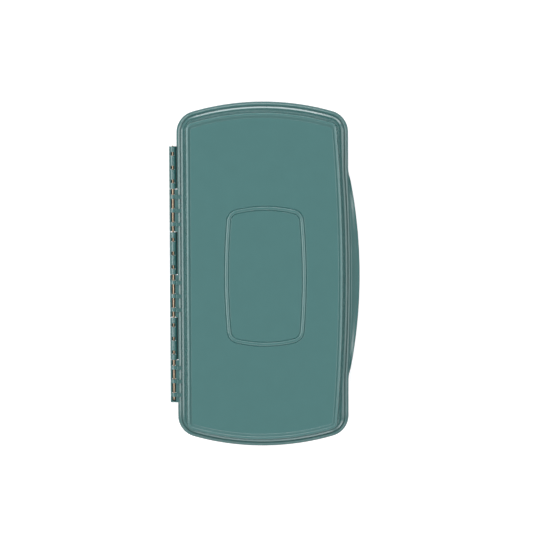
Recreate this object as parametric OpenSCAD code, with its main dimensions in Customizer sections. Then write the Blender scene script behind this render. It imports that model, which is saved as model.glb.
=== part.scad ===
// Fly box: two moulded half shells on a wire hinge, each lined with a slit silicone mat, held shut by
// disc magnets in the thumb grips. Millimetres. The box lies closed on its base, lid up: the hinge is at
// -X, the grips at +X, the long side runs along Y, and the origin is the middle of the whole box's footprint.

/* [Case] */
// Length of the case along the hinge
case_len = 184; // [170:1:200]
// Width of the case without its hinge and grips
case_w = 91.2; // [84:0.2:98]
// Radius of the two bowed ends
end_r = 136; // [120:1:160]
// Radius of the four outer corners
corner_r = 11.5; // [11:0.5:14]
// Height of each half, from the parting plane to its crown
half_h = 16; // [15:0.5:19]
// Thickness of the side walls
wall_t = 1.8; // [1.4:0.1:2.2]
// Thickness of the floor and of the lid's top
floor_t = 1.8; // [1.4:0.1:2.4]
// Gap between the closed halves
parting_gap = 0.2; // [0.1:0.05:0.3]

/* [Rim] */
// Thickness of the outer flange of each half
flange_t = 2.6; // [2.5:0.1:3]
// Distance from the outer edge to the step above the flange
step_in = 2; // [1.8:0.1:2.3]
// How far the step bows out beside the grip
step_bow = 1.2; // [0.8:0.1:1.4]
// Height of the step above the parting plane
step_h = 3.9; // [3.6:0.1:4.4]
// Distance from the outer edge to the foot of the side wall
wall_in = 3.5; // [3.4:0.1:3.7]
// Distance from the outer edge to the middle of the crown
crown_in = 5.9; // [5.6:0.1:6.1]
// Width of the crown's flat land, which the closed box stands on
crown_land = 1; // [0.8:0.1:1.4]
// Radius of the crown's corners
crown_corner_r = 3.2; // [2.6:0.1:4]
// How much further in the crown runs at the ends of the grip side
crown_side_in = 1.1; // [0.6:0.1:1.4]
// How far the crown bows out again in the middle of the grip side
crown_side_bow = 3.2; // [2.6:0.1:3.4]
// Depth of the panel below the crown
panel_recess = 1.1; // [0.8:0.1:1.5]
// Width of the slope from the crown down to the panel
panel_slope = 1.5; // [1.2:0.1:2]
// Thickness of the locating tongue on the base
tongue_t = 1; // [0.8:0.1:1.1]
// Height of the locating tongue
tongue_h = 1.2; // [0.8:0.1:1.4]
// Distance from the outer edge to the tongue
tongue_in = 2.7; // [2.5:0.05:2.8]
// Clearance of the groove round the tongue
tongue_clear = 0.4; // [0.3:0.05:0.45]

/* [Badge frame] */
// Length of the raised frame on the lid
badge_len = 74; // [60:0.2:90]
// Width of the raised frame
badge_w = 43; // [34:0.2:50]
// How far the frame sits off the case's middle, towards the grips
badge_side = 1.4; // [0:0.1:2.5]
// How far the frame sits off the case's middle, along the hinge
badge_along = 0.1; // [0:0.1:2]
// Radius of the frame's bowed ends
badge_end_r = 66; // [50:1:90]
// Radius of the frame's corners
badge_corner_r = 6.5; // [5:0.5:8]
// How far the frame's long sides bow out
badge_bow = 1.2; // [0.5:0.1:2]
// Width of the frame's line
badge_line = 1.9; // [1.2:0.1:2.4]
// Height of the frame above the panel
badge_h = 0.4; // [0.3:0.05:0.7]

/* [Grips] */
// How far each grip reaches past the case
grip_reach = 6; // [5.5:0.1:7]
// Radius of the grip's edge
grip_r = 265; // [220:5:300]
// Radius that blends the grip into the case's side
grip_blend_r = 30; // [20:1:40]
// Thickness of each grip
grip_t = 1.8; // [1.7:0.05:2]

/* [Magnets] */
// Diameter of each magnet
magnet_d = 5; // [4:0.1:5.2]
// Thickness of each magnet
magnet_t = 1.1; // [0.9:0.05:1.2]
// Distance between magnets
magnet_pitch = 24; // [20:1:26]
// Distance of the magnets' centres past the case's side
magnet_out = 1; // [0.9:0.05:1.1]
// How deep each magnet lies below the parting face
magnet_sink = 0.1; // [0.05:0.05:0.15]
// Clearance round each magnet
magnet_clear = 0.05; // [0.02:0.01:0.1]

/* [Hinge] */
// Distance from each end of the case to the hinge
hinge_margin = 23.6; // [23:0.2:30]
// Distance of the hinge's axis past the case's side
hinge_out = 2.05; // [1.95:0.05:2.4]
// How far the flanges stand back along the hinge
hinge_relief = 0.4; // [0.35:0.05:0.5]
// Outer diameter of the knuckles
knuckle_d = 3.9; // [3.7:0.1:4.1]
// Diameter of the hinge pin
pin_d = 1.2; // [1.1:0.1:1.5]
// Clearance between the pin and what bears on it
pin_clear = 0.05; // [0.03:0.01:0.1]
// Width of the slots that show the pin
slot_w = 2.1; // [2:0.05:2.3]
// Gap between neighbouring knuckles
knuckle_gap = 0.25; // [0.2:0.05:0.4]
// Width of each rib
rib_w = 2; // [1.6:0.1:2.4]
// Distance between ribs
rib_pitch = 7.3; // [6.8:0.1:7.6]
// Height of the near face of the web that joins a knuckle to its flange
web_low = 0.9; // [0.6:0.1:1.1]
// Height of the web's far face
web_h = 2.1; // [1.9:0.1:2.3]
// Height of each rib where it meets the step
rib_h = 3.3; // [3.1:0.1:3.5]
// Thickness of the wall that stops the pin
stop_t = 0.7; // [0.6:0.1:1]
// How far the pin's head stands out
pin_head = 0.4; // [0.2:0.1:0.8]

/* [Mats] */
// Thickness of each mat's backing sheet
mat_t = 1.2; // [1:0.1:1.8]
// Gap between the mat and the case's wall
mat_clear = 0.5; // [0.4:0.1:1]
// Height of the rows above the backing sheet
row_h = 6; // [4:0.5:6.5]
// Width of each row
row_w = 6; // [4:0.5:8]
// Distance between rows
row_pitch = 17; // [14:0.5:24]
// Width of each slit
slit_w = 0.6; // [0.4:0.1:1]
// Depth of each slit
slit_depth = 4.5; // [3:0.5:5.5]
// Distance between slits
slit_pitch = 8; // [6:0.5:12]
// Bare sheet between a row and the mat's edge
row_margin = 1.5; // [1:0.5:3]
// Thickness of the adhesive sheet under each mat
adhesive_t = 0.3; // [0.2:0.05:0.5]
// How much smaller the adhesive sheet is all round
adhesive_in = 2; // [1:0.5:4]

/* [Hidden] */

// Everything below is drawn with the case's own middle at x = 0 and the parting plane at z = 0.
knuckle_r = knuckle_d / 2;
axis_x = -case_w / 2 - hinge_out;
footprint_mid_x = (case_w / 2 + grip_reach + axis_x - knuckle_r) / 2;
parting_z = parting_gap / 2;
hinge_len = case_len - 2 * hinge_margin;
section_count = 6;
section_len = (hinge_len - (section_count - 1) * knuckle_gap) / section_count;
bore_r = pin_d / 2 + pin_clear;
embed = 1; // how far a piece that is drawn onto the case reaches into it

edge_round = 0.5; // softening of the flange's and the step's edges
wall_blend = 0.35; // share of the crown's outline that the side wall's foot already has
shoulder_w = 0.5; // width of the rounding between the wall and the crown
shoulder_h = 1.2; // height of that rounding
shoulder_mid_w = 0.35; // where the rounding is half way round: this far out from the crown's land
shoulder_mid_h = 0.25; // and this far below it
crown_out = crown_in - crown_land / 2; // inset of the land's outer edge
panel_in = crown_in + crown_land / 2 + panel_slope; // inset of the panel's edge
panel_z = half_h - panel_recess;
cavity_round = 1.2; // rounding between the cavity's wall and its floor
cavity_round_mid = 0.3; // share of that rounding at its middle
cavity_top = panel_z - floor_t; // height of the floor's inner face
cavity_in = crown_out - shoulder_w + wall_t; // inset of the cavity's wall at its floor
cavity_draft = 0.1; // how far the cavity's wall leans in along its rounding's height
tightest_r = 1; // radius of an inner outline's corners where the outer ones leave no more
mat_in = cavity_in + cavity_round + mat_clear; // inset of the mats' edge

teal = [0.34, 0.50, 0.49];
slate = [0.24, 0.27, 0.29];

// ---- plan outlines ----------------------------------------------------------------------------

side_steps = 6;
corner_steps = 4;
arch_steps = 8;

function mix(a, b, t) = a + (b - a) * t;

// Points on a circle from angle a0 to a1, both ends included.
function arc(centre, r, a0, a1, steps) =
  [for (i = [0:steps]) centre + r * [cos(mix(a0, a1, i / steps)), sin(mix(a0, a1, i / steps))]];

// A long outline with straight or bowed sides, rounded corners and bowed ends, anticlockwise from its
// right side. left and right are the distances from x = 0 to the sides at the corners.
function outline(left, right, half_len, r_end, r_corner, bow_left, bow_right) =
  let (
    mid = (right - left) / 2,
    half_w = (right + left) / 2,
    reach = half_w - r_corner,
    lean = asin(reach / (r_end - r_corner)),
    corner_y = (r_end - r_corner) * cos(lean) - (r_end - half_len),
    side = [for (i = [0:side_steps]) mix(-1, 1, i / side_steps)],
    right_side = [for (t = side) [right + bow_right * (1 - t * t), t * corner_y]],
    left_side = [for (t = side) [-left - bow_left * (1 - t * t), -t * corner_y]],
    upper = concat(
      inner(arc([mid + reach, corner_y], r_corner, 0, 90 - lean, corner_steps)),
      arc([mid, half_len - r_end], r_end, 90 - lean, 90 + lean, arch_steps),
      inner(arc([mid - reach, corner_y], r_corner, 90 + lean, 180, corner_steps))
    ),
    lower = [for (i = [len(upper) - 1:-1:0]) [upper[i].x, -upper[i].y]]
  )
  concat(right_side, upper, left_side, lower);

// A list without its first and last points.
function inner(list) = [for (i = [1:len(list) - 2]) list[i]];

// The case's outline, d in from its edge. blend turns it from the flange's outline at 0 to the crown's at 1,
// and bow is how much further its grip side bows out.
function case_outline(d, blend = 0, bow = 0) =
  outline(
    case_w / 2 - d,
    case_w / 2 - d - blend * crown_side_in,
    case_len / 2 - d,
    end_r - d,
    max(mix(corner_r - d, crown_corner_r + crown_in - d, blend), tightest_r),
    0,
    blend * crown_side_bow + bow
  );

function badge_outline(d) =
  outline(
    badge_w / 2 - badge_bow - d, badge_w / 2 - badge_bow - d, badge_len / 2 - d,
    badge_end_r - d, badge_corner_r - d, badge_bow, badge_bow
  );

// ---- half shells --------------------------------------------------------------------------------

// Each row is one ring round the case: how far in, how high, how much of the crown's outline it has, and how
// much further it bows out beside the grip.
foot_bow = step_bow / 2;
outer_rings = [
  [panel_in, panel_z, 1, 0],
  [panel_in - panel_slope * 2 / 3, mix(panel_z, half_h, 2 / 3), 1, 0],
  [crown_in + crown_land / 2, half_h, 1, 0],
  [crown_out, half_h, 1, 0],
  [crown_out - shoulder_mid_w, half_h - shoulder_mid_h, 1, 0],
  [crown_out - shoulder_w, half_h - shoulder_h, 1, 0],
  [wall_in, step_h + edge_round, wall_blend, foot_bow],
  [wall_in - edge_round / 2, step_h, wall_blend, foot_bow],
  [step_in + edge_round, step_h, 0, step_bow],
  [step_in, step_h - edge_round, 0, step_bow],
  [step_in, flange_t, 0, step_bow],
  [edge_round, flange_t, 0, 0],
  [0, flange_t - edge_round, 0, 0],
  [0, parting_z + edge_round / 2, 0, 0],
  [edge_round / 2, parting_z, 0, 0]
];

cavity_rings = [
  [wall_in + wall_t, parting_z, wall_blend, 0],
  [cavity_in - cavity_draft, cavity_top - cavity_round, 1, 0],
  [cavity_in + cavity_round * cavity_round_mid, cavity_top - cavity_round * cavity_round_mid, 1, 0],
  [cavity_in + cavity_round, cavity_top, 1, 0]
];

function tongue_rings(d, t, z) =
  [[d, parting_z, 0, 0], [d, z, 0, 0], [d + t, z, 0, 0], [d + t, parting_z, 0, 0]];

base_rings = concat(outer_rings, tongue_rings(tongue_in, tongue_t, parting_z - tongue_h), cavity_rings);
lid_rings = concat(
  outer_rings,
  tongue_rings(tongue_in - tongue_clear, tongue_t + 2 * tongue_clear, parting_z + tongue_h + tongue_clear),
  cavity_rings
);

// One closed solid through the rings, closed across the first and the last.
module loft(rings) {
  outlines = [for (ring = rings) case_outline(ring[0], ring[2], ring[3])];
  n = len(outlines[0]);
  points = [for (i = [0:len(rings) - 1]) for (p = outlines[i]) [p.x, p.y, rings[i][1]]];
  sides = [
    for (i = [0:len(rings) - 2]) for (j = [0:n - 1])
      let (a = i * n + j, b = i * n + (j + 1) % n)
      each [[a, a + n, b], [b, a + n, b + n]]
  ];
  top = [for (j = [n - 1:-1:0]) j];
  bottom = [for (j = [0:n - 1]) (len(rings) - 1) * n + j];
  polyhedron(points, concat([top], sides, [bottom]), convexity = 8);
}

// The crescent grip in plan: a shallow arc past the case's side, blended into it at both ends.
module grip_plan() {
  arc_mid_x = case_w / 2 + grip_reach - grip_r;
  blend_x = case_w / 2 + grip_blend_r;
  lean = acos((blend_x - arc_mid_x) / (grip_r + grip_blend_r));
  blend_y = (grip_r + grip_blend_r) * sin(lean);
  edge = concat(
    arc([blend_x, -blend_y], grip_blend_r, 180, 180 - lean, corner_steps),
    inner(arc([arc_mid_x, 0], grip_r, -lean, lean, 3 * arch_steps)),
    arc([blend_x, blend_y], grip_blend_r, 180 + lean, 180, corner_steps)
  );
  polygon(concat([[case_w / 2 - embed, -blend_y]], edge, [[case_w / 2 - embed, blend_y]]));
}

// A disc in a magnet's place, standing on the parting plane: place is -1, 0 or 1, from left to right as
// seen facing the grips.
module magnet_disc(place, d, h) {
  translate([case_w / 2 + magnet_out, place * magnet_pitch, 0]) cylinder(d = d, h = h, $fn = 48);
}

module magnet_pockets() {
  pocket_depth = parting_z + magnet_sink + magnet_t + magnet_clear;
  for (place = [-1:1]) magnet_disc(place, magnet_d + 2 * magnet_clear, pocket_depth);
}

// ---- hinge --------------------------------------------------------------------------------------

// A stretch between ribs: a trough under the pin, whose inner wall rises to the web and so to the flange.
module trough_profile() {
  wall_top = 0.4; // how far the trough's outer wall reaches past the pin's middle
  difference() {
    union() {
      intersection() {
        circle(knuckle_r, $fn = 64);
        translate([-knuckle_r, -knuckle_r]) square([knuckle_d, knuckle_r + wall_top]);
      }
      square([knuckle_r, web_h]);
      translate([slot_w / 2, web_low]) square([hinge_out + embed - slot_w / 2, web_h - web_low]);
    }
    translate([-slot_w / 2, -bore_r]) square([slot_w, knuckle_d]);
  }
}

// A rib: half a bore over the pin, and a bar that runs across the flange to the step.
module rib_profile() {
  bar_end = hinge_out + step_in + edge_round;
  bar_root = flange_t - edge_round;
  difference() {
    union() {
      circle(knuckle_r, $fn = 64);
      polygon([
        [0, 0], [knuckle_r, 0], [knuckle_r, web_low], [hinge_out + embed, web_low],
        [hinge_out + embed, bar_root], [bar_end, bar_root], [bar_end, rib_h],
        [hinge_out, flange_t + edge_round / 2], [knuckle_r / 2, knuckle_r], [0, knuckle_r]
      ]);
    }
    circle(bore_r, $fn = 48);
    translate([-slot_w / 2, -knuckle_d]) square([slot_w, knuckle_d]);
  }
}

// Draws a profile across the hinge and runs it along Y from y0 to y1.
module along_hinge(y0, y1) {
  translate([axis_x, y1, 0]) rotate([90, 0, 0]) linear_extrude(y1 - y0) children();
}

// One knuckle section with its ribs up, centred on y.
module knuckle_section(y) {
  cuts = [for (i = [-1:1]) y + i * rib_pitch];
  starts = concat([y - section_len / 2], [for (c = cuts) c + rib_w / 2]);
  ends = concat([for (c = cuts) c - rib_w / 2], [y + section_len / 2]);
  for (i = [0:len(starts) - 1]) along_hinge(starts[i], ends[i]) trough_profile();
  for (c = cuts) along_hinge(c - rib_w / 2, c + rib_w / 2) rib_profile();
}

// The sections alternate along the hinge: first = 0 gives the lid's, from the lower end, and 1 the base's.
module knuckles(first) {
  for (i = [first:2:section_count - 1])
    knuckle_section(-hinge_len / 2 + section_len / 2 + i * (section_len + knuckle_gap));
}

// What the flange gives way to along the hinge.
module hinge_clearing() {
  translate([-case_w / 2 - embed, -hinge_len / 2 - knuckle_gap, parting_z - embed])
    cube([embed + hinge_relief, hinge_len + 2 * knuckle_gap, flange_t + 2 * embed]);
}

module pin_stop() {
  along_hinge(-hinge_len / 2, -hinge_len / 2 + stop_t) circle(knuckle_r, $fn = 64);
}

// ---- mats ---------------------------------------------------------------------------------------

module mat_plan(extra_in = 0) {
  polygon(case_outline(mat_in + extra_in, 1));
}

// A row of the mat seen from its side, with its slits.
module row_profile(length) {
  slits = floor((length / 2 - row_margin) / slit_pitch);
  difference() {
    translate([-length / 2, 0]) square([length, row_h + mat_t / 2]);
    for (i = [-slits:slits])
      translate([i * slit_pitch - slit_w / 2, row_h + mat_t / 2 - slit_depth])
        square([slit_w, slit_depth + 1]);
  }
}

// A mat lying on z = 0 with its rows up. offset_rows moves them half a pitch, so that facing rows miss.
module mat(offset_rows) {
  row_len = case_w - 2 * mat_in - crown_side_in - 2 * row_margin;
  row_reach = case_len / 2 - mat_in - corner_r - row_w / 2;
  shift = offset_rows ? row_pitch / 2 : 0;
  count = floor((row_reach - shift) / row_pitch);
  first = offset_rows ? -count - 1 : -count;
  linear_extrude(mat_t) mat_plan();
  for (i = [first:count])
    translate([-crown_side_in / 2, i * row_pitch + shift + row_w / 2, mat_t / 2])
      rotate([90, 0, 0]) linear_extrude(row_w) row_profile(row_len);
}

// ---- nodes --------------------------------------------------------------------------------------

// Puts a piece of the lid, drawn above the parting plane, in the box's own frame.
module in_lid() {
  translate([-footprint_mid_x, 0, half_h]) children();
}

// The same for the base, whose pieces are drawn like the lid's and turned over.
module in_base() {
  translate([-footprint_mid_x, 0, half_h]) mirror([0, 0, 1]) children();
}

module grip() {
  translate([0, 0, parting_z]) linear_extrude(grip_t) grip_plan();
}

module base_shell() {
  color(teal) in_base() difference() {
    union() {
      difference() {
        loft(base_rings);
        hinge_clearing();
      }
      grip();
      knuckles(1);
    }
    magnet_pockets();
  }
}

module badge_frame() {
  root = floor_t / 2;
  translate([badge_side, badge_along, panel_z - root]) linear_extrude(root + badge_h) difference() {
    polygon(badge_outline(0));
    polygon(badge_outline(badge_line));
  }
}

module lid_shell() {
  color(teal) in_lid() difference() {
    union() {
      difference() {
        loft(lid_rings);
        hinge_clearing();
      }
      badge_frame();
      grip();
      knuckles(0);
      pin_stop();
    }
    magnet_pockets();
  }
}

module hinge_pin() {
  tip = 0.3; // chamfer of the pin's ends
  start = -hinge_len / 2 + stop_t + knuckle_gap;
  length = hinge_len / 2 + pin_head - start;
  color("peru") in_lid() translate([axis_x, start, 0]) rotate([-90, 0, 0]) rotate_extrude($fn = 48)
    polygon([
      [0, 0], [pin_d / 2 - tip, 0], [pin_d / 2, tip],
      [pin_d / 2, length - tip], [pin_d / 2 - tip, length], [0, length]
    ]);
}

module adhesive_in_half() {
  translate([0, 0, cavity_top - adhesive_t]) linear_extrude(adhesive_t) mat_plan(adhesive_in);
}

module mat_in_half(offset_rows) {
  translate([0, 0, cavity_top - adhesive_t]) mirror([0, 0, 1]) mat(offset_rows);
}

module base_mat() { color(slate) in_base() mat_in_half(false); }
module lid_mat() { color(slate) in_lid() mat_in_half(true); }
module base_mat_adhesive() { color("gainsboro") in_base() adhesive_in_half(); }
module lid_mat_adhesive() { color("gainsboro") in_lid() adhesive_in_half(); }

module magnet(place) {
  color("silver") translate([0, 0, parting_z + magnet_sink]) magnet_disc(place, magnet_d, magnet_t);
}

base_shell();
lid_shell();
hinge_pin();
base_mat();
lid_mat();
base_mat_adhesive();
lid_mat_adhesive();
in_base() magnet(-1);  // base_magnet_left
in_base() magnet(0);  // base_magnet_centre
in_base() magnet(1);  // base_magnet_right
in_lid() magnet(-1);  // lid_magnet_left
in_lid() magnet(0);  // lid_magnet_centre
in_lid() magnet(1);  // lid_magnet_right
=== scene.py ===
# The finish of a flat fly box: satin moulded half shells round a drawn copper-brass pin, slit silicone mats
# and nickel-plated disc magnets. Every shape is drawn in millimetres with the case's middle at x = 0 and the
# parting plane at z = 0, one half at a time and right way up, and is then put in the frame's own metres.
import math
from collections import namedtuple

import bmesh
import bpy
from mathutils import Matrix, Vector


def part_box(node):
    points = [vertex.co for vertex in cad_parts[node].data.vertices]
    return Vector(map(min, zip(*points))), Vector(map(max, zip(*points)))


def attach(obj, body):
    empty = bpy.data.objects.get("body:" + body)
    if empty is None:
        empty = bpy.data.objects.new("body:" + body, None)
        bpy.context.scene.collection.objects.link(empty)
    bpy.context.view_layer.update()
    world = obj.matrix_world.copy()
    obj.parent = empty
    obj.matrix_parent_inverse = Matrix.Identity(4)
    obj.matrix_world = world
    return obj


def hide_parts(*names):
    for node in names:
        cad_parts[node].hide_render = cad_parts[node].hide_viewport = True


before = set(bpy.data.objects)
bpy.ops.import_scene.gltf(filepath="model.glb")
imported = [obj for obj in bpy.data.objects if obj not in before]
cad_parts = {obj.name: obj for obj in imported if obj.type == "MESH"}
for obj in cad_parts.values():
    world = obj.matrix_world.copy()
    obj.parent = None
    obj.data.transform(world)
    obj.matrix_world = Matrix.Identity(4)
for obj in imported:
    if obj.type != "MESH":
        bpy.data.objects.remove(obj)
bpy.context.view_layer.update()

# ---- sizes, in millimetres -------------------------------------------------------------------------

MM = 0.001  # a millimetre in the frame's metres


def box_mm(node):
    """A node's lowest and highest corners."""
    low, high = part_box(node)
    return low / MM, high / MM


HINGE_OUT = 2.05  # from the case's side to the hinge's axis
GRIP_REACH = 6  # from the case's other side to the grip's edge

lid_low, lid_high = box_mm("lid_shell")
pin_low, pin_high = box_mm("hinge_pin")
AXIS_X = (pin_low.x + pin_high.x) / 2
PARTING_PLANE = (pin_low.z + pin_high.z) / 2
CASE_LEFT = AXIS_X + HINGE_OUT
CASE_RIGHT = lid_high.x - GRIP_REACH
CASE_MID = (CASE_LEFT + CASE_RIGHT) / 2
CASE_W = CASE_RIGHT - CASE_LEFT
CASE_LEN = lid_high.y - lid_low.y
CROWN_Z = lid_high.z - PARTING_PLANE
PIN_X = AXIS_X - CASE_MID
PIN_R = (pin_high.x - pin_low.x) / 2
KNUCKLE_R = AXIS_X - lid_low.x

# Each _IN is a distance in from the case's outline, and each _Z a height over the parting plane.
END_R = 136  # radius of the case's bowed ends
CORNER_R = 11.5
PARTING_Z = 0.1  # half the gap between the closed halves
FLANGE_Z = 2.6
FLANGE_EDGE_Z = 2.56  # the flange's top falls this far towards its rounded edge
FLANGE_ROUND = 1.6  # radius of that edge
STEP_IN = 2  # edge of the step that stands on the flange
WALL_IN = 3.55  # foot of the side wall
CROWN_IN = 5.9  # middle of the crown
CROWN_CORNER_R = 3.2
CROWN_SIDE_IN = 1.1  # the crown's run further in at the ends of the grip side
CROWN_SIDE_BOW = 3.2  # and its bow back out in the middle
PANEL_IN = 7.6  # edge of the sunk panel
PANEL_ENDS = 0.6  # how much further in the panel's two ends lie
PANEL_Z = CROWN_Z - 1.1
WALL_BLEND = 0.35  # share of the crown's outline in the wall's foot
TIGHTEST_R = 1  # least radius of a corner in plan

CAVITY_IN = 6.42  # the cavity at its top, where the mat lies
CAVITY_TOP = PANEL_Z - 1.8
CAVITY_ROUND = 1.2
TONGUE_IN = 2.7
TONGUE_T = 1
TONGUE_H = 1.2
TONGUE_CLEAR = 0.4  # room round the base's tongue in the lid's groove

GRIP_R = 265  # radius of the crescent
GRIP_BLEND_R = 30  # radius by which it runs into the case's side
GRIP_TOP = 1.9
GRIP_DISH_Z = 1.58  # lowest height of the hollow for the thumb
GRIP_DISH_AT = 0.12  # where it lies, as a share of the way out over the grip
GRIP_LIP = 0.45  # rounding of the grip's edge
GRIP_FADE = 1.2  # reach at which the grip has its whole form
RIM_SWELL = 0.31  # share of the grip's reach by which the flange's rim runs out beside it
EDGE_SWELL = 0.25  # the same where the rim turns down into the grip
GROOVE_SWELL = 0.31  # the same for the fine groove inside the rim
FOOT_SWELL = 0.2  # and for the wall's foot

BADGE_LEN = 74
BADGE_W = 43
BADGE_SIDE = 1.4  # how far its middle lies towards the grip
BADGE_ALONG = 0.1  # and towards the upper end
BADGE_END_R = 66
BADGE_CORNER_R = 6.5
BADGE_BOW = 1.2  # of its long sides
BADGE_LINE = 1.9  # width of the raised line
BADGE_H = 0.4

MAGNET_D = 5
MAGNET_CLEAR = 0.05

KNUCKLE_SECTIONS = 6
KNUCKLE_GAP = 0.25
BORE_R = PIN_R + 0.05
SLOT_W = 2.1
SLOT_FLOOR = -1.35  # height of the slots' floor, under the pin
HINGE_RELIEF = 0.4  # how far the flanges stand back along the hinge
RIBS = 3  # in each section
RIB_W = 2
RIB_PITCH = 7.3
WEB_LOW = 0.9  # height of the near face of the web between the barrel and the flange
WEB_Z = 2.1  # and of its far face
RIB_H = 3.3
STOP_T = 0.7  # thickness of the pin's stop

ADHESIVE_T = 0.3
MAT_T = 1.2
MAT_IN = 8.1
# The mat's rows stand across the box, and slits cut them along it.
ROW_W = 6
ROW_H = 6
ROW_PITCH = 17
ROW_MARGIN = 1.5
SLIT_W = 0.6
SLIT_DEPTH = 4.5
SLIT_PITCH = 8

# ---- plan outlines ---------------------------------------------------------------------------------

# Steps along each part of an outline and round each round form.
GRIP_SIDE_STEPS = 80
HINGE_SIDE_STEPS = 24
CORNER_STEPS = 14
ARCH_STEPS = 44
BARREL_STEPS = 40  # the knuckles' barrels and the pin
ROUND_STEPS = 48  # the bores, the pin's stop and the magnets


def mix(a, b, t):
    return a + (b - a) * t


def arc(centre, radius, start, end, steps):
    """Points on a circle from one angle in degrees to another, both ends included."""
    angles = [math.radians(mix(start, end, i / steps)) for i in range(steps + 1)]
    return [(centre[0] + radius * math.cos(a), centre[1] + radius * math.sin(a)) for a in angles]


def outline(left, right, half_len, end_r, corner_r, bow_left, bow_right):
    """A long outline with straight or bowed sides, rounded corners and bowed ends, anticlockwise from the
    lower end of its right side. left and right are the distances from x = 0 to the sides at the corners."""
    mid = (right - left) / 2
    reach = (right + left) / 2 - corner_r
    lean = math.asin(reach / (end_r - corner_r))
    corner_y = (end_r - corner_r) * math.cos(lean) - (end_r - half_len)
    tilt = math.degrees(lean)
    grip_side = [2 * i / GRIP_SIDE_STEPS - 1 for i in range(GRIP_SIDE_STEPS + 1)]
    hinge_side = [2 * i / HINGE_SIDE_STEPS - 1 for i in range(HINGE_SIDE_STEPS + 1)]
    right_side = [(right + bow_right * (1 - t * t), t * corner_y) for t in grip_side]
    left_side = [(-left - bow_left * (1 - t * t), -t * corner_y) for t in hinge_side]
    upper = arc((mid + reach, corner_y), corner_r, 0, 90 - tilt, CORNER_STEPS)[1:-1]
    upper += arc((mid, half_len - end_r), end_r, 90 - tilt, 90 + tilt, ARCH_STEPS)
    upper += arc((mid - reach, corner_y), corner_r, 90 + tilt, 180, CORNER_STEPS)[1:-1]
    lower = [(x, -y) for x, y in reversed(upper)]
    return right_side + upper + left_side + lower


def case_outline(inset, blend, ends=0):
    """The case's outline, from the flange's at blend 0 to the crown's at blend 1. ends is how much further in
    its two ends lie."""
    half_w = CASE_W / 2 - inset
    corner_r = mix(CORNER_R - inset, CROWN_CORNER_R + CROWN_IN - inset, blend)
    return outline(
        half_w, half_w - blend * CROWN_SIDE_IN, CASE_LEN / 2 - inset - ends, END_R - inset,
        max(corner_r, TIGHTEST_R), 0, blend * CROWN_SIDE_BOW,
    )


def badge_outline(inset):
    """The raised line's outline, moved in from its outer edge."""
    half_w = BADGE_W / 2 - BADGE_BOW - inset
    points = outline(
        half_w, half_w, BADGE_LEN / 2 - inset, BADGE_END_R - inset, BADGE_CORNER_R - inset,
        BADGE_BOW, BADGE_BOW,
    )
    return [(x + BADGE_SIDE, y + BADGE_ALONG) for x, y in points]


def grip_reach_at(y):
    """How far the grip's edge stands past the case's side."""
    arc_mid = GRIP_REACH - GRIP_R
    lean = math.acos((GRIP_BLEND_R - arc_mid) / (GRIP_R + GRIP_BLEND_R))
    blend_y = (GRIP_R + GRIP_BLEND_R) * math.sin(lean)
    y = abs(y)
    if y < GRIP_R * math.sin(lean):
        return arc_mid + math.sqrt(GRIP_R**2 - y**2)
    if y < blend_y:
        return GRIP_BLEND_R - math.sqrt(GRIP_BLEND_R**2 - (blend_y - y) ** 2)
    return 0


# ---- rings and profiles ----------------------------------------------------------------------------

# One ring round a half: how far in, how high, its share of the crown's outline, the share of the grip's reach
# by which it swells out beside the grip, and how much further in its two ends lie. A ring that runs out over
# the grip also has its share of the way there, how far in from the grip's edge it ends, and its height.
Ring = namedtuple("Ring", "inset z blend swell ends share lip grip_z", defaults=(0, 0, 0, 0, 0, None))

SUPPORT = 0.06  # a ring this far past each rounding keeps the flats beside it flat
LEAST_FLAT = 0.03  # share of a flat that two wide roundings leave to each side of its middle


def along(start, end, distance):
    """The point at a distance from start towards end, no further than just short of half way."""
    span = math.hypot(end[0] - start[0], end[1] - start[1])
    share = min(distance / span, 0.5 - LEAST_FLAT)
    return tuple(mix(a, b, share) for a, b in zip(start, end))


def rounded(rows):
    """Rings from rows that each end in a rounding. The first and last rows stay sharp."""
    rings = [rows[0][:-1]]
    for before, row, after in zip(rows, rows[1:], rows[2:]):
        corner, radius = row[:-1], row[-1]
        start = along(corner, before, radius)
        end = along(corner, after, radius)
        steps = max(3, min(8, round(radius * 6)))
        rings.append(along(corner, before, radius + SUPPORT))
        for i in range(steps + 1):
            t = i / steps
            rings.append(tuple(
                mix(mix(a, b, t), mix(b, c, t), t) for a, b, c in zip(start, corner, end)
            ))
        rings.append(along(corner, after, radius + SUPPORT))
    rings.append(rows[-1][:-1])
    return rings


def badge_rings():
    """The raised line round the bare badge, between two fine grooves, from inside it outwards."""
    groove_z = PANEL_Z - 0.35
    line_z = PANEL_Z + BADGE_H
    clear, brink, foot = 1.3, 0.45, 0.2  # distances from the line's two edges
    rows = [
        (BADGE_LINE + clear, PANEL_Z, 0),
        (BADGE_LINE + brink, PANEL_Z, 0.12),
        (BADGE_LINE + foot, groove_z, 0.08),
        (BADGE_LINE - foot, line_z, 0.7),
        (foot, line_z, 0.7),
        (-foot, groove_z, 0.08),
        (-brink, PANEL_Z, 0.12),
        (-clear, PANEL_Z, 0),
    ]
    return [[(x, y, z) for x, y in badge_outline(inset)] for inset, z in rounded(rows)]


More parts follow.
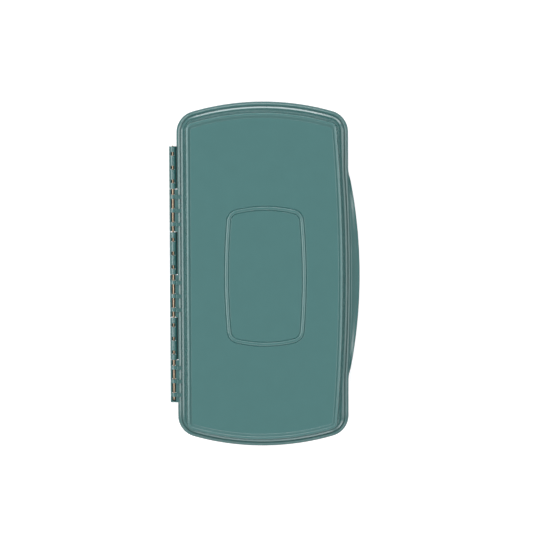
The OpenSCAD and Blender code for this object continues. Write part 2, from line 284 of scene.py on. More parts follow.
def upper_rings():
    """The panel's edge, the crown, the side wall, the step, the fine groove and the flange's top. Each row is
    an inset, a height, a blend, a swell, the ends' inset and a rounding."""
    slope_top, crest, crest_out = CROWN_IN + 0.7, CROWN_IN + 0.35, CROWN_IN - 0.35
    crest_fall = 0.12
    waist_in, waist_z = 5.1, 10.5
    step_foot, step_edge = 4.1, 3.72
    channel_z, channel_out, channel_in = 2.1, STEP_IN - 0.08, 2.42
    return [Ring(*row) for row in rounded([
        (PANEL_IN + 2, PANEL_Z, 1, 0, PANEL_ENDS, 0),
        (PANEL_IN, PANEL_Z, 1, 0, PANEL_ENDS, 0.12),
        (slope_top, CROWN_Z, 1, 0, 0, 0.2),
        (crest, CROWN_Z, 1, 0, 0, 0.15),
        (crest_out, CROWN_Z - crest_fall, 1, 0, 0, 0.25),
        (waist_in, waist_z, 0.9, 0, 0, 1.5),
        (WALL_IN, step_foot, WALL_BLEND, FOOT_SWELL, 0, 0.25),
        (channel_in + 0.1, step_edge, 0, GROOVE_SWELL, 0, 0.1),
        (channel_in, channel_z, 0, GROOVE_SWELL, 0, 0.1),
        (channel_out + 0.04, channel_z, 0, GROOVE_SWELL, 0, 0.1),
        (channel_out, FLANGE_Z, 0, GROOVE_SWELL, 0, 0.1),
        (FLANGE_ROUND, FLANGE_EDGE_Z, 0, RIM_SWELL, 0, 0),
    ])][:-1]


def grip_height(share, join_z):
    """The height of the grip's top, from where it leaves the rim to its lip."""
    if share < GRIP_DISH_AT:
        return mix(join_z, GRIP_DISH_Z, math.sin(math.pi / 2 * share / GRIP_DISH_AT))
    rise = (share - GRIP_DISH_AT) / (1 - GRIP_DISH_AT)
    return mix(GRIP_DISH_Z, GRIP_TOP, (1 - math.cos(math.pi * rise)) / 2)


def flange_rings():
    """The flange's round outer edge and, where the grip grows out of it, the grip's dished top and lip."""
    round_z = FLANGE_EDGE_Z - FLANGE_ROUND
    grip_start = 50  # degrees down the flange's rounding
    foot_z = 0.35
    foot = 0.25
    last_angle = 88
    first_share, last_share = 0.02, 0.94

    def on_round(angle):
        a = math.radians(angle)
        return FLANGE_ROUND * (1 - math.sin(a)), round_z + FLANGE_ROUND * math.cos(a)

    rim_steps = 6
    rings = [
        Ring(*on_round(grip_start * i / rim_steps), 0, mix(RIM_SWELL, EDGE_SWELL, i / rim_steps))
        for i in range(rim_steps + 1)
    ]
    join_in, join_z = on_round(grip_start)
    across = 18
    for i in range(across + 1):
        share = mix(first_share, last_share, i / across)
        inset, z = on_round(mix(grip_start + 2, last_angle, i / across))
        rings.append(Ring(inset, z, 0, EDGE_SWELL, 0, share, 0, grip_height(share, join_z)))
    lip_steps = 5
    for i in range(lip_steps + 1):
        a = math.radians(90 * i / lip_steps)
        lip = GRIP_LIP * (1 - math.sin(a))
        grip_z = GRIP_TOP - GRIP_LIP * (1 - math.cos(a))
        rings.append(Ring(0, mix(round_z, foot_z + 0.3, i / lip_steps), 0, 0, 0, 1, lip, grip_z))
    foot_steps = 4
    rings.append(Ring(0, foot_z + SUPPORT, 0, 0, 0, 1, 0, foot_z + SUPPORT))
    for i in range(foot_steps + 1):
        a = math.radians(90 * i / foot_steps)
        inset = foot * (1 - math.cos(a))
        z = foot_z - foot * math.sin(a)
        rings.append(Ring(inset, z, 0, 0, 0, 1, inset, z))
    rings.append(Ring(foot + SUPPORT, PARTING_Z, 0, 0, 0, 1, foot + SUPPORT, PARTING_Z))
    return rings, join_in


def inner_rings(locating):
    """The parting face with its locating groove or tongue, then the cavity. Each row is an inset, a height, a
    blend, a swell and a rounding."""
    face_in, mouth_in = 1.0, 5.3
    rows = [(face_in, PARTING_Z, 0, 0, 0)] + locating + [
        (mouth_in, PARTING_Z, WALL_BLEND, 0, 0.25),
        (CAVITY_IN, CAVITY_TOP, 1, 0, CAVITY_ROUND),
        (CAVITY_IN + 2 * CAVITY_ROUND, CAVITY_TOP, 1, 0, 0),
    ]
    return [Ring(*row) for row in rounded(rows)]


def locating_rows(inset, width, z, edge):
    """The rows of a groove or a tongue, whose floor or top lies at z with its edges rounded."""
    outer, inner = inset, inset + width
    return [
        (outer, PARTING_Z, 0, 0, 0.12), (outer, z, 0, 0, edge),
        (inner, z, 0, 0, edge), (inner, PARTING_Z, 0, 0, 0.12),
    ]


GROOVE = locating_rows(
    TONGUE_IN - TONGUE_CLEAR, TONGUE_T + 2 * TONGUE_CLEAR, TONGUE_H + TONGUE_CLEAR + PARTING_Z, 0.2
)
TONGUE = locating_rows(TONGUE_IN, TONGUE_T, PARTING_Z - TONGUE_H, 0.3)


def ring_points(ring, join_in):
    """A ring's points in space. On the grip's side they run out over the grip as far as it reaches there."""
    points = []
    for x, y in case_outline(ring.inset, ring.blend, ring.ends):
        z = ring.z
        reach = grip_reach_at(y) if x > 0 else 0
        x += ring.swell * reach
        if reach > 0 and ring.grip_z is not None:
            t = min(reach / GRIP_FADE, 1)
            weight = t * t * (3 - 2 * t)
            join_x = CASE_W / 2 - join_in + EDGE_SWELL * reach
            grip_x = mix(join_x, CASE_W / 2 + reach - ring.lip, ring.share)
            x = mix(x, grip_x, weight)
            z = mix(z, ring.grip_z, weight)
        points.append((x, y, z))
    return points


# ---- meshes ----------------------------------------------------------------------------------------

SHARP = math.radians(36)  # edges steeper than this are shaded as edges


def new_object(name, mesh):
    piece = bpy.data.objects.new(name, mesh)
    bpy.context.scene.collection.objects.link(piece)
    return piece


def face_outwards(mesh):
    work = bmesh.new()
    work.from_mesh(mesh)
    bmesh.ops.recalc_face_normals(work, faces=work.faces)
    work.to_mesh(mesh)
    work.free()


def mesh_object(name, points, faces):
    mesh = bpy.data.meshes.new(name)
    mesh.from_pydata(points, [], faces)
    face_outwards(mesh)
    return new_object(name, mesh)


def loft(name, rings):
    """A closed solid through rings of equally many points."""
    count = len(rings[0])
    points = [point for ring in rings for point in ring]
    faces = [
        (i * count + j, (i + 1) * count + j, (i + 1) * count + (j + 1) % count, i * count + (j + 1) % count)
        for i in range(len(rings) - 1) for j in range(count)
    ]
    faces.append(tuple(range(count - 1, -1, -1)))
    faces.append(tuple(range((len(rings) - 1) * count, len(rings) * count)))
    return mesh_object(name, points, faces)


def prism(name, profile, start, end):
    """A profile across the hinge, of x and z, run along Y."""
    return loft(name, [[(x, y, z) for x, z in profile] for y in (start, end)])


def lathe(name, profile, axis_point, steps):
    """A solid of revolution round a line along Y (profile of radius and y)."""
    rings = []
    for radius, y in profile:
        rings.append([
            (axis_point[0] + px, y, axis_point[1] + pz)
            for px, pz in arc((0, 0), radius, 0, 360, steps)[:-1]
        ])
    return loft(name, rings)


def settled(piece):
    """Applies a piece's modifiers and leaves a plain mesh."""
    view = bpy.context.evaluated_depsgraph_get()
    mesh = bpy.data.meshes.new_from_object(piece.evaluated_get(view))
    piece.modifiers.clear()
    piece.data = mesh
    return piece


def combine(piece, tool, operation):
    """Joins a tool to a piece, or cuts it away, and deletes the tool."""
    modifier = piece.modifiers.new("combine", "BOOLEAN")
    modifier.operation = operation
    modifier.solver = "EXACT"
    modifier.object = tool
    settled(piece)
    bpy.data.objects.remove(tool)


def place(piece, upside_down):
    """Puts a finished half's piece in the frame, in metres: the lid's as drawn, the base's turned over."""
    flip = Matrix.Diagonal((1, 1, -1 if upside_down else 1, 1))
    spot = Matrix.Translation((CASE_MID, 0, PARTING_PLANE))
    mesh = piece.data
    mesh.transform(Matrix.Scale(MM, 4) @ spot @ flip)
    face_outwards(mesh)
    mesh.shade_smooth()
    mesh.set_sharp_from_angle(angle=SHARP)


# ---- geometry node trees ---------------------------------------------------------------------------


def tree_with_inputs(name, inputs):
    """A tree that puts out a geometry, and the sockets of its named inputs."""
    tree = bpy.data.node_groups.new(name, "GeometryNodeTree")
    for label, kind in inputs:
        tree.interface.new_socket(label, in_out="INPUT", socket_type="NodeSocket" + kind)
    tree.interface.new_socket("Geometry", in_out="OUTPUT", socket_type="NodeSocketGeometry")
    return tree, tree.nodes.new("NodeGroupInput").outputs


def row_of(tree, source, count, start, pitch):
    """Nodes that repeat a geometry along Y. The arguments after the tree are sockets."""
    line = tree.nodes.new("GeometryNodeMeshLine")
    first = tree.nodes.new("ShaderNodeCombineXYZ")
    step = tree.nodes.new("ShaderNodeCombineXYZ")
    copies = tree.nodes.new("GeometryNodeInstanceOnPoints")
    real = tree.nodes.new("GeometryNodeRealizeInstances")
    link = tree.links.new
    link(count, line.inputs["Count"])
    link(start, first.inputs["Y"])
    link(pitch, step.inputs["Y"])
    link(first.outputs[0], line.inputs["Start Location"])
    link(step.outputs[0], line.inputs["Offset"])
    link(line.outputs[0], copies.inputs["Points"])
    link(source, copies.inputs["Instance"])
    link(copies.outputs[0], real.inputs[0])
    return real.outputs[0]


def shape_of(tree, object_socket):
    """The geometry of the object that is given to a socket."""
    info = tree.nodes.new("GeometryNodeObjectInfo")
    tree.links.new(object_socket, info.inputs["Object"])
    return info.outputs["Geometry"]


def mesh_boolean(tree, operation, first, others):
    """A geometry joined to others, or with them cut away."""
    node = tree.nodes.new("GeometryNodeMeshBoolean")
    node.operation = operation
    node.solver = "EXACT"
    if operation == "DIFFERENCE":
        tree.links.new(first, node.inputs["Mesh 1"])
    else:
        others = others + [first]
    for other in others:
        tree.links.new(other, node.inputs["Mesh 2"])
    return node.outputs["Mesh"]


def finish_tree(tree, geometry, material_socket):
    """Makes a tree's copies real and gives them their material."""
    real = tree.nodes.new("GeometryNodeRealizeInstances")
    paint = tree.nodes.new("GeometryNodeSetMaterial")
    out = tree.nodes.new("NodeGroupOutput")
    tree.links.new(geometry, real.inputs[0])
    tree.links.new(real.outputs[0], paint.inputs["Geometry"])
    tree.links.new(material_socket, paint.inputs["Material"])
    tree.links.new(paint.outputs[0], out.inputs[0])


def grown(name, tree, values):
    """A plain mesh object made by a tree from the values of its named inputs."""
    piece = new_object(name, bpy.data.meshes.new(name))
    modifier = piece.modifiers.new("grow", "NODES")
    modifier.node_group = tree
    for item in tree.interface.items_tree:
        if item.in_out == "INPUT":
            modifier[item.identifier] = values[item.name]
    settled(piece)
    for value in values.values():
        if isinstance(value, bpy.types.Object):
            bpy.data.objects.remove(value)
    return piece


def knuckle_tree():
    """Knuckle sections along the hinge: a blank is cut open from above between its ribs, from below under
    them, and bored for the pin."""
    tree, inputs = tree_with_inputs("knuckle_sections", [
        ("Blank", "Object"), ("Slot Cutter", "Object"), ("Window Cutter", "Object"), ("Bore", "Object"),
        ("Ribs", "Int"), ("Slots", "Int"), ("Rib Pitch", "Float"), ("First Rib", "Float"),
        ("First Slot", "Float"), ("Sections", "Int"), ("Section Pitch", "Float"), ("First Section", "Float"),
        ("Material", "Material"),
    ])
    slots = row_of(
        tree, shape_of(tree, inputs["Slot Cutter"]),
        inputs["Slots"], inputs["First Slot"], inputs["Rib Pitch"],
    )
    windows = row_of(
        tree, shape_of(tree, inputs["Window Cutter"]),
        inputs["Ribs"], inputs["First Rib"], inputs["Rib Pitch"],
    )
    section = mesh_boolean(
        tree, "DIFFERENCE", shape_of(tree, inputs["Blank"]),
        [slots, windows, shape_of(tree, inputs["Bore"])],
    )
    sections = row_of(
        tree, section, inputs["Sections"], inputs["First Section"], inputs["Section Pitch"]
    )
    finish_tree(tree, sections, inputs["Material"])
    return tree


def mat_tree():
    """A mat: slit rows in step along it, one with the sheet under them."""
    tree, inputs = tree_with_inputs("mat_rows", [
        ("Sheet", "Object"), ("Row", "Object"), ("Rows", "Int"), ("First Row", "Float"),
        ("Row Pitch", "Float"), ("Material", "Material"),
    ])
    rows = row_of(
        tree, shape_of(tree, inputs["Row"]), inputs["Rows"], inputs["First Row"], inputs["Row Pitch"]
    )
    whole = mesh_boolean(tree, "UNION", shape_of(tree, inputs["Sheet"]), [rows])
    finish_tree(tree, whole, inputs["Material"])
    return tree


# ---- materials -------------------------------------------------------------------------------------


def node_with(tree, kind, **values):
    """A shader node with values set on its named inputs."""
    node = tree.nodes.new(kind)
    for name, value in values.items():
        node.inputs[name.replace("_", " ")].default_value = value
    return node


def shader_group(name, inputs, outputs):
    """A node group, and the nodes of its inputs and its outputs."""
    group = bpy.data.node_groups.new(name, "ShaderNodeTree")
    for label, kind, value in inputs:
        socket = group.interface.new_socket(label, in_out="INPUT", socket_type="NodeSocket" + kind)
        if value is not None:
            socket.default_value = value
    for label, kind in outputs:
        group.interface.new_socket(label, in_out="OUTPUT", socket_type="NodeSocket" + kind)
    return group, group.nodes.new("NodeGroupInput"), group.nodes.new("NodeGroupOutput")


def moulded_skin_group():
    """The skin of a moulding: a fine even grain, the slow waves of shrinkage and a cloudy gloss."""
    group, given, out = shader_group(
        "moulded_skin",
        [("Grain Scale", "Float", 3000), ("Grain Depth", "Float", 1e-5),
         ("Wave Scale", "Float", 60), ("Wave Depth", "Float", 1e-4)],
        [("Normal", "Vector"), ("Cloud", "Float")],
    )
    place_at = group.nodes.new("ShaderNodeTexCoord")
    grain = node_with(group, "ShaderNodeTexNoise", Detail=3, Roughness=0.6)
    waves = node_with(group, "ShaderNodeTexNoise", Detail=1, Roughness=0.4)
    cloud = node_with(group, "ShaderNodeTexNoise", Scale=140, Detail=4, Roughness=0.62)
    slow = node_with(group, "ShaderNodeBump", Strength=1)
    fine = node_with(group, "ShaderNodeBump", Strength=1)
    link = group.links.new
    for noise in (grain, waves, cloud):
        link(place_at.outputs["Object"], noise.inputs["Vector"])
    link(given.outputs["Grain Scale"], grain.inputs["Scale"])
    link(given.outputs["Wave Scale"], waves.inputs["Scale"])
    link(waves.outputs[0], slow.inputs["Height"])
    link(given.outputs["Wave Depth"], slow.inputs["Distance"])
    link(grain.outputs[0], fine.inputs["Height"])
    link(given.outputs["Grain Depth"], fine.inputs["Distance"])
    link(slow.outputs[0], fine.inputs["Normal"])
    link(fine.outputs[0], out.inputs["Normal"])
    link(cloud.outputs[0], out.inputs["Cloud"])
    return group


def drawn_lines_group():
    """Fine lines along Y, as drawing leaves on wire and rolling leaves on film."""
    group, given, out = shader_group(
        "drawn_lines",
        [("Across", "Float", 9000), ("Along", "Float", 60), ("Depth", "Float", 4e-6)],
        [("Normal", "Vector"), ("Lines", "Float")],
    )
    place_at = group.nodes.new("ShaderNodeTexCoord")
    split = group.nodes.new("ShaderNodeSeparateXYZ")
    joined = group.nodes.new("ShaderNodeCombineXYZ")
    lines = node_with(group, "ShaderNodeTexNoise", Scale=1, Detail=2, Roughness=0.5)
    bump = node_with(group, "ShaderNodeBump", Strength=1)
    link = group.links.new
    link(place_at.outputs["Object"], split.inputs[0])
    for axis, rate in (("X", "Across"), ("Y", "Along"), ("Z", "Across")):
        scaled = group.nodes.new("ShaderNodeMath")
        scaled.operation = "MULTIPLY"
        link(split.outputs[axis], scaled.inputs[0])
        link(given.outputs[rate], scaled.inputs[1])
        link(scaled.outputs[0], joined.inputs[axis])
    link(joined.outputs[0], lines.inputs["Vector"])
    link(lines.outputs[0], bump.inputs["Height"])
    link(given.outputs["Depth"], bump.inputs["Distance"])
    link(bump.outputs[0], out.inputs["Normal"])
    link(lines.outputs[0], out.inputs["Lines"])
    return group


NOISE_LOW, NOISE_HIGH = 0.3, 0.7  # a noise runs mostly between these


def new_material(name, **values):
    """A material with a Principled BSDF whose constants sit on its own sockets."""
    material = bpy.data.materials.new(name)
    material.use_nodes = True
    tree = material.node_tree
    shader = tree.nodes["Principled BSDF"]
    for label, value in values.items():
        shader.inputs[label.replace("_", " ")].default_value = value
    return material, tree, shader


def use_group(tree, group, **values):
    """Puts a node group in a material with its own values."""
    node = tree.nodes.new("ShaderNodeGroup")
    node.node_tree = group
    for label, value in values.items():
        node.inputs[label.replace("_", " ")].default_value = value
    return node


def mask_to_roughness(tree, mask, low, high, shader):
    """Feeds a shader's roughness with a value that runs from low to high with a mask."""
    node = tree.nodes.new("ShaderNodeMapRange")
    node.inputs["From Min"].default_value = NOISE_LOW
    node.inputs["From Max"].default_value = NOISE_HIGH
    node.inputs["To Min"].default_value = low
    node.inputs["To Max"].default_value = high
    tree.links.new(mask, node.inputs["Value"])
    tree.links.new(node.outputs[0], shader.inputs["Roughness"])


def mask_to_colour(tree, mask, low, high, shader):
    """Feeds a shader's colour with one that runs from low to high with a mask."""
    node = tree.nodes.new("ShaderNodeMix")
    node.data_type = "RGBA"
    factor, first, second = node.inputs[0], node.inputs[6], node.inputs[7]
    first.default_value = (*low, 1)
    second.default_value = (*high, 1)
    tree.links.new(mask, factor)
    tree.links.new(node.outputs[2], shader.inputs["Base Color"])


def finish_surface(tree, shader, surface, mask, colours, roughness):
    """Gives a shader the relief of a surface group, and a colour and a roughness that follow its mask."""
    mask_to_colour(tree, surface.outputs[mask], *colours, shader)
    mask_to_roughness(tree, surface.outputs[mask], *roughness, shader)
    tree.links.new(surface.outputs["Normal"], shader.inputs["Normal"])


moulded_skin = moulded_skin_group()
drawn_lines = drawn_lines_group()


def satin_plastic():
    """Teal acetal-like moulding: a soft sheen over an even, faintly clouded colour."""
    material, tree, shader = new_material("satin_teal_plastic", IOR=1.58)
    skin = use_group(tree, moulded_skin, Grain_Scale=2600, Grain_Depth=7e-6, Wave_Scale=45, Wave_Depth=6e-5)
    colours = ((0.0325, 0.126, 0.121), (0.0367, 0.135, 0.130))
    finish_surface(tree, shader, skin, "Cloud", colours, (0.13, 0.18))
    return material


def drawn_copper_brass():
    """Drawn wire with fine lines along it. Its colour is painted shade: darker than bare brass, for the dark
    slot walls it mirrors.
    """
    material, tree, shader = new_material("drawn_copper_brass", Metallic=1.0)
    lines = use_group(tree, drawn_lines)
    # painted shade: both colours are darkened to stand in for the dark reflections of the slot round the wire
    colours = ((0.27, 0.205, 0.14), (0.37, 0.29, 0.21))
    finish_surface(tree, shader, lines, "Lines", colours, (0.30, 0.44))
    return material


def slate_silicone():
    """Dark matt rubber with a faint bloom."""
    material, tree, shader = new_material(
        "slate_silicone", IOR=1.41, Sheen_Weight=0.15, Sheen_Roughness=0.5
    )
    skin = use_group(tree, moulded_skin, Grain_Scale=1500, Grain_Depth=2e-5, Wave_Scale=90, Wave_Depth=8e-5)
    colours = ((0.036, 0.046, 0.052), (0.050, 0.062, 0.068))
    finish_surface(tree, shader, skin, "Cloud", colours, (0.52, 0.66))
    return material


def adhesive_film():
    """Pale double-sided film with the marks of its rolls."""
    material, tree, shader = new_material("adhesive_film", IOR=1.47)
    lines = use_group(tree, drawn_lines, Across=1800, Along=140, Depth=1.2e-5)
    colours = ((0.62, 0.62, 0.60), (0.74, 0.74, 0.71))
    finish_surface(tree, shader, lines, "Lines", colours, (0.30, 0.48))
    return material


def nickel_plate():
    """Bright plating with a fine grain and cloudy gloss."""
    material, tree, shader = new_material("nickel_plate", Metallic=1.0)
    skin = use_group(tree, moulded_skin, Grain_Scale=5200, Grain_Depth=3e-6, Wave_Scale=500, Wave_Depth=8e-6)
    colours = ((0.36, 0.355, 0.34), (0.46, 0.45, 0.43))
    finish_surface(tree, shader, skin, "Cloud", colours, (0.22, 0.36))
    return material


plastic = satin_plastic()
brass = drawn_copper_brass()
silicone = slate_silicone()
film = adhesive_film()
nickel = nickel_plate()

# ---- the half shells -------------------------------------------------------------------------------

HINGE_MARGIN = 23.6  # from each end of the case to the hinge
HINGE_LEN = CASE_LEN - 2 * HINGE_MARGIN
SECTION_LEN = (HINGE_LEN - (KNUCKLE_SECTIONS - 1) * KNUCKLE_GAP) / KNUCKLE_SECTIONS
EMBED = 1  # how far the knuckles' webs reach into the flange
HAIR = 0.002  # overlap of cutters that meet


def knuckle_blank():
    """A whole knuckle section in profile: a barrel, its web and the bars that run over the flange."""
    barrel = arc((0, 0), KNUCKLE_R, 90, 360, BARREL_STEPS)
    web_end = HINGE_OUT + EMBED
    bar_end = HINGE_OUT + STEP_IN + 0.5
    bar_root = FLANGE_Z - 0.7
    bar_bend = HINGE_OUT - 0.2  # where the bars turn down to the barrel
    bar_fall = 0.02
    profile = barrel + [
        (KNUCKLE_R, WEB_LOW), (web_end, WEB_LOW), (web_end, bar_root), (bar_end, bar_root),
        (bar_end, RIB_H), (bar_bend, RIB_H - bar_fall), (KNUCKLE_R / 2, KNUCKLE_R),
    ]
    profile = [(x + PIN_X, z) for x, z in profile]
    return prism("knuckle_blank", profile, -SECTION_LEN / 2, SECTION_LEN / 2)


def slot_cutter():
    """What is cut away between two ribs: the slot over the pin and all above the web."""
    half = SLOT_W / 2
    wall_top = 0.9
    far = 6
    profile = [
        (-far, wall_top), (-half, wall_top), (-half, SLOT_FLOOR), (half, SLOT_FLOOR),
        (half, WEB_Z), (far, WEB_Z), (far, far), (-far, far),
    ]
    profile = [(x + PIN_X, z) for x, z in profile]
    length = RIB_PITCH - RIB_W + HAIR
    return prism("slot_cutter", profile, -length / 2, length / 2)


def window_cutter():
    """What is cut away from below, under a rib."""
    half = SLOT_W / 2
    depth = 3
    profile = [(x + PIN_X, z) for x, z in ((-half, 0), (-half, -depth), (half, -depth), (half, 0))]
    return prism("window_cutter", profile, -RIB_W / 2, RIB_W / 2)


def knuckles(tree, first):
    """The knuckle sections of one half: 0 for the lid's, from the lower end, 1 for the base's."""
    pitch = SECTION_LEN + KNUCKLE_GAP
    bore = lathe("bore", [(BORE_R, -SECTION_LEN), (BORE_R, SECTION_LEN)], (PIN_X, 0), ROUND_STEPS)
    return grown("knuckles", tree, {
        "Blank": knuckle_blank(), "Slot Cutter": slot_cutter(), "Window Cutter": window_cutter(),
        "Bore": bore, "Ribs": RIBS, "Slots": RIBS + 1, "Rib Pitch": RIB_PITCH,
        "First Rib": -RIB_PITCH * (RIBS - 1) / 2, "First Slot": -RIB_PITCH * RIBS / 2,
        "Sections": KNUCKLE_SECTIONS // 2, "Section Pitch": 2 * pitch,
        "First Section": -HINGE_LEN / 2 + SECTION_LEN / 2 + first * pitch, "Material": plastic,
    })


def pin_stop():
    """The disc that closes the bore's lower end."""
    start = -HINGE_LEN / 2
    return lathe("pin_stop", [(KNUCKLE_R, start), (KNUCKLE_R, start + STOP_T)], (PIN_X, 0), ROUND_STEPS)


def hinge_clearing():
    """What the flange gives way to along the hinge, up to just under its top."""
    inner, outer = HINGE_RELIEF - CASE_W / 2, -CASE_W / 2 - 1
    bottom, top = PARTING_Z - 1, FLANGE_Z - 0.25
    slant_in, slant_down = 0.15, 0.4
    profile = [
        (outer, bottom), (inner, bottom), (inner, top - slant_down), (inner - slant_in, top), (outer, top),
    ]
    end = HINGE_LEN / 2 + KNUCKLE_GAP
    return prism("hinge_clearing", profile, -end, end)


def disc(name, x, y, rings):
    """A disc standing on the parting plane (rings of radius and height)."""
    return loft(name, [
        [(px, py, z) for px, py in arc((x, y), radius, 0, 360, ROUND_STEPS)[:-1]] for radius, z in rings
    ])


MAGNET_SPOTS = ("left", "centre", "right")


def magnet_place(half, spot):
    """The middle of a magnet's face in plan, and how deep its two faces lie from the parting plane."""
    low, high = box_mm(f"{half}_magnet_{spot}")
    near, far = sorted(abs(z - PARTING_PLANE) for z in (low.z, high.z))
    return (low.x + high.x) / 2 - CASE_MID, (low.y + high.y) / 2, near, far


def half_shell(name, tree, half, top_rings, locating):
    """A whole half: the loft through its rings, its knuckles and the pockets for its magnets."""
    edge_rings, join_in = flange_rings()
    rings = top_rings + [
        ring_points(ring, join_in) for ring in upper_rings() + edge_rings + inner_rings(locating)
    ]
    shell = loft(name, rings)
    combine(shell, hinge_clearing(), "DIFFERENCE")
    combine(shell, knuckles(tree, 1 if half == "base" else 0), "UNION")
    if half == "lid":
        combine(shell, pin_stop(), "UNION")
    for spot in MAGNET_SPOTS:
        x, y, _, far = magnet_place(half, spot)
        radius = MAGNET_D / 2 + MAGNET_CLEAR
        pocket = disc("pocket", x, y, [(radius, -1), (radius, far + MAGNET_CLEAR)])
        combine(shell, pocket, "DIFFERENCE")
    shell.data.materials.clear()
    shell.data.materials.append(plastic)
    place(shell, half == "base")
    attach(shell, half)
    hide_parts(f"{half}_shell")


knuckle_sections = knuckle_tree()
half_shell("lid_moulding", knuckle_sections, "lid", badge_rings(), GROOVE)
half_shell("base_moulding", knuckle_sections, "base", [], TONGUE)

# ---- the hinge pin ---------------------------------------------------------------------------------


def hinge_pin():
    """Drawn wire with both ends rolled over."""
    low, high = pin_low.y, pin_high.y
    roll, roll_steps = 0.45, 6
    lengths = 20
    nose = []
    for i in range(roll_steps + 1):
        a = math.radians(90 * i / roll_steps)
        nose.append((PIN_R - roll * (1 - math.cos(a)), roll * (1 - math.sin(a))))
    profile = [(r, low + y) for r, y in reversed(nose)]
    profile += [(PIN_R, low + (high - low) * i / lengths) for i in range(1, lengths)]
    profile += [(r, high - y) for r, y in nose]
    pin = lathe("pin_wire", profile, (PIN_X, 0), BARREL_STEPS)
    pin.data.materials.append(brass)
    place(pin, False)
    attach(pin, "base")
    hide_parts("hinge_pin")


hinge_pin()

# ---- mats, adhesive and magnets --------------------------------------------------------------------


def softened(piece, width, segments):
    """Rounds a piece's edges."""
    bevel = piece.modifiers.new("soften", "BEVEL")
    bevel.width = width
    bevel.segments = segments
    bevel.limit_method = "ANGLE"
    bevel.angle_limit = math.radians(30)
    return settled(piece)


def mat_row():
    """One row seen from its side, cut by slits, and run across its own width with softened edges."""
    length = CASE_W - 2 * MAT_IN - CROWN_SIDE_IN - 2 * ROW_MARGIN
    top = MAT_T + ROW_H
    bottom = MAT_T / 2
    slits = math.floor((length / 2 - ROW_MARGIN) / SLIT_PITCH)
    mouth, mouth_depth = 0.35, 0.8
    edge, edge_steps = 0.22, 2
    mouth_z, floor_z = top - mouth_depth, top - SLIT_DEPTH
    profile = [(-length / 2, bottom), (length / 2, bottom), (length / 2, top)]
    for i in range(slits, -slits - 1, -1):
        left, right = i * SLIT_PITCH - SLIT_W / 2, i * SLIT_PITCH + SLIT_W / 2
        profile += [
            (right + mouth, top), (right, mouth_z), (right, floor_z),
            (left, floor_z), (left, mouth_z), (left - mouth, top),
        ]
    profile.append((-length / 2, top))
    profile = [(x - CROWN_SIDE_IN / 2, z) for x, z in profile]
    return softened(prism("mat_row", profile, -ROW_W / 2, ROW_W / 2), edge, edge_steps)


def mat_sheet():
    """A mat's sheet with rounded edges, as a loft from a ring inside one face to one inside the other."""
    within = 6
    rows = [(within, 0, 0), (0, 0, 0.2), (0, MAT_T, 0.4), (within, MAT_T, 0)]
    rings = [[(x, y, z) for x, y in case_outline(MAT_IN + inset, 1)] for inset, z in rounded(rows)]
    return loft("mat_sheet", rings)


def mat(half, tree):
    """A half's mat. The lid's rows lie half a pitch along, between the base's."""
    reach = CASE_LEN / 2 - MAT_IN - CORNER_R - ROW_W / 2
    shift = ROW_PITCH / 2 if half == "lid" else 0
    count = math.floor((reach - shift) / ROW_PITCH)
    first = -count - 1 if half == "lid" else -count
    piece = grown(f"{half}_slit_mat", tree, {
        "Sheet": mat_sheet(), "Row": mat_row(), "Rows": count - first + 1,
        "First Row": first * ROW_PITCH + shift, "Row Pitch": ROW_PITCH, "Material": silicone,
    })
    top = CAVITY_TOP - ADHESIVE_T
    piece.data.transform(Matrix.Translation((0, 0, top)) @ Matrix.Diagonal((1, 1, -1, 1)))
    place(piece, half == "base")
    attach(piece, half)
    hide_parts(f"{half}_mat")


def magnet(half, spot):
    """A disc magnet with rounded chamfers."""
    x, y, near, far = magnet_place(half, spot)
    radius = MAGNET_D / 2
    within = radius - 1
    chamfer = 0.18
    bulge = chamfer / 3
    piece = disc(f"{half}_disc_{spot}", x, y, [
        (within, near), (radius - chamfer, near), (radius - bulge, near + bulge), (radius, near + chamfer),
        (radius, far - chamfer), (radius - bulge, far - bulge), (radius - chamfer, far), (within, far),
    ])
    piece.data.materials.append(nickel)
    place(piece, half == "base")
    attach(piece, half)
    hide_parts(f"{half}_magnet_{spot}")


mat_rows = mat_tree()
for half in ("base", "lid"):
    mat(half, mat_rows)
    for spot in MAGNET_SPOTS:
        magnet(half, spot)
    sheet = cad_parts[f"{half}_mat_adhesive"]
    sheet.data.materials.clear()
    sheet.data.materials.append(film)

# ---- floor, light and camera -----------------------------------------------------------------------

FLOOR_WHITE = (0.86, 0.86, 0.86, 1)
FLOOR_HALF = 6  # half the floor's side, in metres
FLOOR_GLOW = 0.5  # what the floor adds to its own lit white for the camera and in reflections
WORLD_FILL = 0.1  # the world's light on the object, where 1 is the white that the camera sees
LAMP_DISTANCE = 1.2  # in metres
WHITE, ROSE = (1, 1, 1), (1, 0.97, 1)


def seen_ray(tree):
    """1 for rays from the camera, off gloss and through glass."""
    path = tree.nodes.new("ShaderNodeLightPath")
    total = path.outputs["Is Camera Ray"]
    for name in ("Is Glossy Ray", "Is Transmission Ray"):
        both = tree.nodes.new("ShaderNodeMath")
        both.operation = "ADD"
        both.use_clamp = True
        tree.links.new(total, both.inputs[0])
        tree.links.new(path.outputs[name], both.inputs[1])
        total = both.outputs[0]
    return total


def white_floor():
    """A matt white floor that shows as white round the box's shadow."""
    material, tree, shader = new_material("white_floor", Roughness=0.9, Specular_IOR_Level=0.0)
    shader.inputs["Base Color"].default_value = FLOOR_WHITE
    shader.inputs["Emission Color"].default_value = (1, 1, 1, 1)
    glow = tree.nodes.new("ShaderNodeMath")
    glow.operation = "MULTIPLY"
    glow.inputs[1].default_value = FLOOR_GLOW
    tree.links.new(seen_ray(tree), glow.inputs[0])
    tree.links.new(glow.outputs[0], shader.inputs["Emission Strength"])
    mesh = bpy.data.meshes.new("floor")
    corners = [(x * FLOOR_HALF, y * FLOOR_HALF, 0) for x, y in ((-1, -1), (1, -1), (1, 1), (-1, 1))]
    mesh.from_pydata(corners, [], [(0, 1, 2, 3)])
    mesh.materials.append(material)
    new_object("floor", mesh)


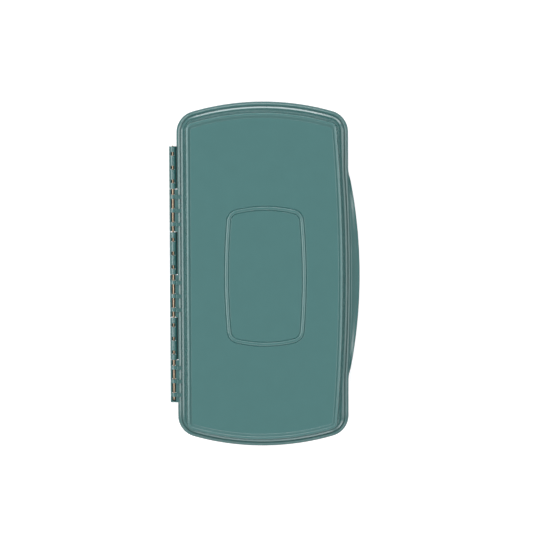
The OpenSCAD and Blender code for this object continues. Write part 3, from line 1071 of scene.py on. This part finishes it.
def white_world():
    """White where it is seen, and a faint even light on the object."""
    world = bpy.data.worlds.new("studio")
    bpy.context.scene.world = world
    world.use_nodes = True
    tree = world.node_tree
    background = tree.nodes["Background"]
    background.inputs["Color"].default_value = (1, 1, 1, 1)
    strength = tree.nodes.new("ShaderNodeMapRange")
    strength.inputs["To Min"].default_value = WORLD_FILL
    tree.links.new(seen_ray(tree), strength.inputs["Value"])
    tree.links.new(strength.outputs[0], background.inputs["Strength"])


def softbox(name, azimuth, elevation, size, glow, colour):
    """A rectangular lamp that faces the box. Azimuth is measured from +X towards +Y, in degrees, sizes are
    in metres, and glow is the lamp's brightness, where 1 is white."""
    lamp = bpy.data.lights.new(name, "AREA")
    lamp.shape = "RECTANGLE"
    lamp.size, lamp.size_y = size
    lamp.energy = glow * 4 * size[0] * size[1]
    lamp.color = colour
    holder = bpy.data.objects.new(name, lamp)
    bpy.context.scene.collection.objects.link(holder)
    a, e = math.radians(azimuth), math.radians(elevation)
    way = Vector((math.cos(a) * math.cos(e), math.sin(a) * math.cos(e), math.sin(e)))
    holder.location = way * LAMP_DISTANCE
    holder.rotation_euler = way.to_track_quat("Z", "Y").to_euler()


CAMERA_TILT = 5  # degrees from straight above, towards +Y
CAMERA_ROLL = 0.23
CAMERA_DISTANCE = 1635
CAMERA_RIGHT = 3.82  # how far the camera stands off the box's middle, right and up in the picture
CAMERA_UP = 2.22
LENS = 204.5
SENSOR = 36
FAR_END = 20  # in metres


def studio_camera():
    """A long lens nearly straight above the box, with its hinge to the left."""
    tilt, roll = math.radians(CAMERA_TILT), math.radians(CAMERA_ROLL)
    across = Vector((1, 0, 0))
    along_box = Vector((0, math.cos(tilt), -math.sin(tilt)))
    back = Vector((0, math.sin(tilt), math.cos(tilt)))
    right = math.cos(roll) * across - math.sin(roll) * along_box
    up = math.sin(roll) * across + math.cos(roll) * along_box
    middle = Vector((CASE_MID, 0, PARTING_PLANE))
    place_mm = middle + CAMERA_DISTANCE * back + CAMERA_RIGHT * right + CAMERA_UP * up
    data = bpy.data.cameras.new("studio_camera")
    data.lens = LENS
    data.sensor_width = SENSOR
    data.clip_end = FAR_END
    camera = bpy.data.objects.new("studio_camera", data)
    bpy.context.scene.collection.objects.link(camera)
    turn = Matrix((right, up, back)).transposed().to_4x4()
    camera.matrix_world = Matrix.Translation(place_mm * MM) @ turn
    bpy.context.scene.camera = camera


white_floor()
white_world()
for lamp in (
    ("beyond", 90, 48, (0.6, 0.22), 8, ROSE),
    ("beyond_hinge", 134, 48, (0.46, 0.22), 7, ROSE),
    ("beyond_grip", 46, 48, (0.46, 0.22), 5, ROSE),
    ("hinge_side", 180, 58, (0.5, 0.76), 3.5, WHITE),
    ("grip_side", 0, 58, (0.5, 0.76), 2.2, WHITE),
    ("near", 270, 44, (0.6, 0.25), 3.5, ROSE),
    ("near_hinge", 226, 46, (0.46, 0.22), 4, ROSE),
    ("near_grip", 314, 46, (0.46, 0.22), 4, ROSE),
):
    softbox(*lamp)
studio_camera()
bpy.context.scene.view_settings.view_transform = "Standard"
